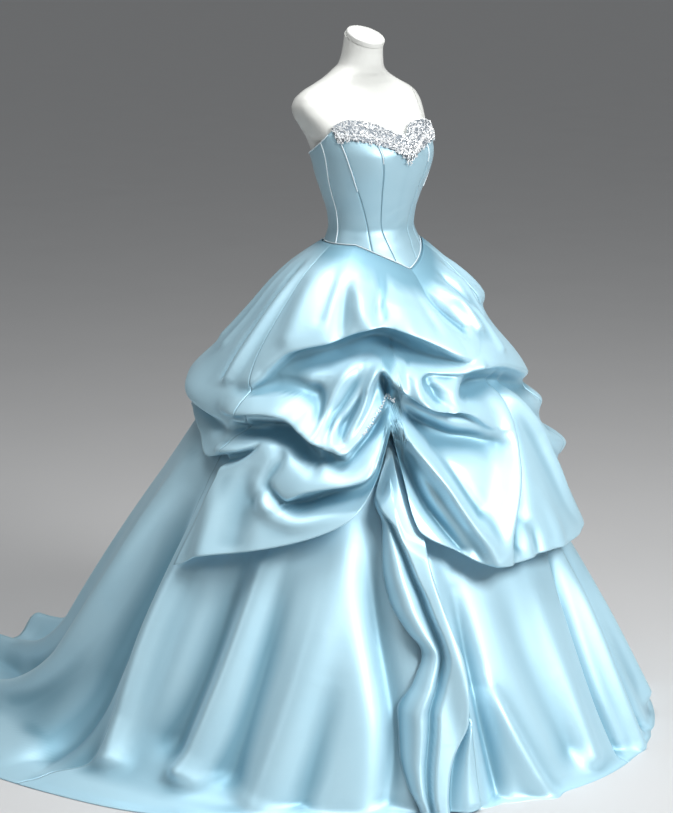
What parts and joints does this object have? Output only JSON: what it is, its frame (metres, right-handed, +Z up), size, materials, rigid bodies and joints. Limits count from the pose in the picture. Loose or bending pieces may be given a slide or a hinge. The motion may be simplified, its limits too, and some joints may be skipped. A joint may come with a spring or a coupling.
{
  "type": "ball gown on a dress form",
  "caption": "Strapless satin ball gown with a beaded neckline, a picked-up overskirt and a swept train, on a limbless dress form.",
  "frame": {"origin": "centre of the dress form's base plate, on the floor under its pole", "axes": "+Z up; -Y the front of the gown; +X the wearer's left; the train runs to -X and +Y"},
  "size_m": [1.6375, 1.6931, 1.565],
  "materials": {
    "satin": "heavy duchess satin, pale ice blue, soft broad highlights",
    "crystal": "sewn clear crystals and silver-lined beads",
    "form_white": "smooth white semi-gloss shell",
    "steel": "brushed steel tube"
  },
  "bodies": {
    "root": {"form_torso": "form_white", "form_neck_cap": "form_white", "form_arm_plate_right": "form_white", "form_arm_plate_left": "form_white", "form_pole": "steel", "form_base": "form_white", "bodice_centre_front": "satin", "bodice_side_front_right": "satin", "bodice_side_right": "satin", "bodice_back_right": "satin", "bodice_side_front_left": "satin", "bodice_side_left": "satin", "bodice_back_left": "satin", "neckline_beading": "crystal", "underskirt_train": "satin", "underskirt_right_front": "satin", "underskirt_front": "satin", "underskirt_left_side": "satin", "underskirt_left_back": "satin", "overskirt_front": "satin", "overskirt_right_back": "satin", "overskirt_left_back": "satin", "cascade": "satin", "pick_up_beads": "crystal"}
  },
  "joints": []
}
